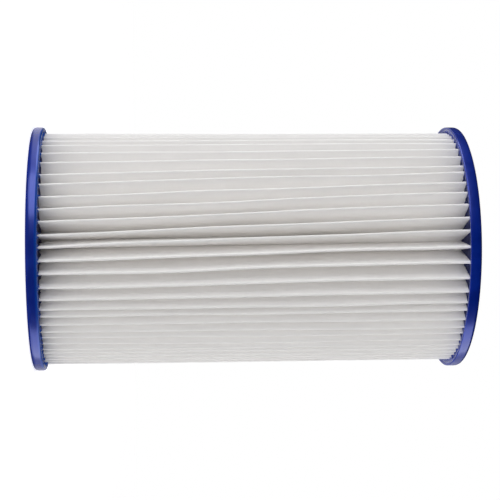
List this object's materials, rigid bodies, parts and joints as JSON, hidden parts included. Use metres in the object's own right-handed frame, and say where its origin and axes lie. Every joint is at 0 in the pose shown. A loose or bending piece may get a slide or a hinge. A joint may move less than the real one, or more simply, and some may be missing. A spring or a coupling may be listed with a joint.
{
  "type": "pleated filter cartridge",
  "caption": "Cylindrical pleated filter cartridge with a slatted tubular core, cast blue end caps and an open bore from end to end.",
  "frame": {"origin": "centre of the lower end cap's outer face", "axes": "+Z along the cartridge's axis from the lower end cap to the upper one; the seam between the sheet's two ends is on the +Y side"},
  "size_m": [0.145, 0.145, 0.254],
  "materials": {
    "cap_blue": "gloss",
    "filter_sheet": "matte",
    "hot_melt": "satin",
    "core_white": "satin"
  },
  "bodies": {
    "root": {"end_cap_bottom": "cap_blue", "end_cap_top": "cap_blue", "pleated_media": "filter_sheet", "side_seam": "hot_melt", "core_section_1": "core_white", "core_section_2": "core_white", "core_section_3": "core_white", "core_section_4": "core_white", "core_section_5": "core_white"}
  },
  "joints": []
}
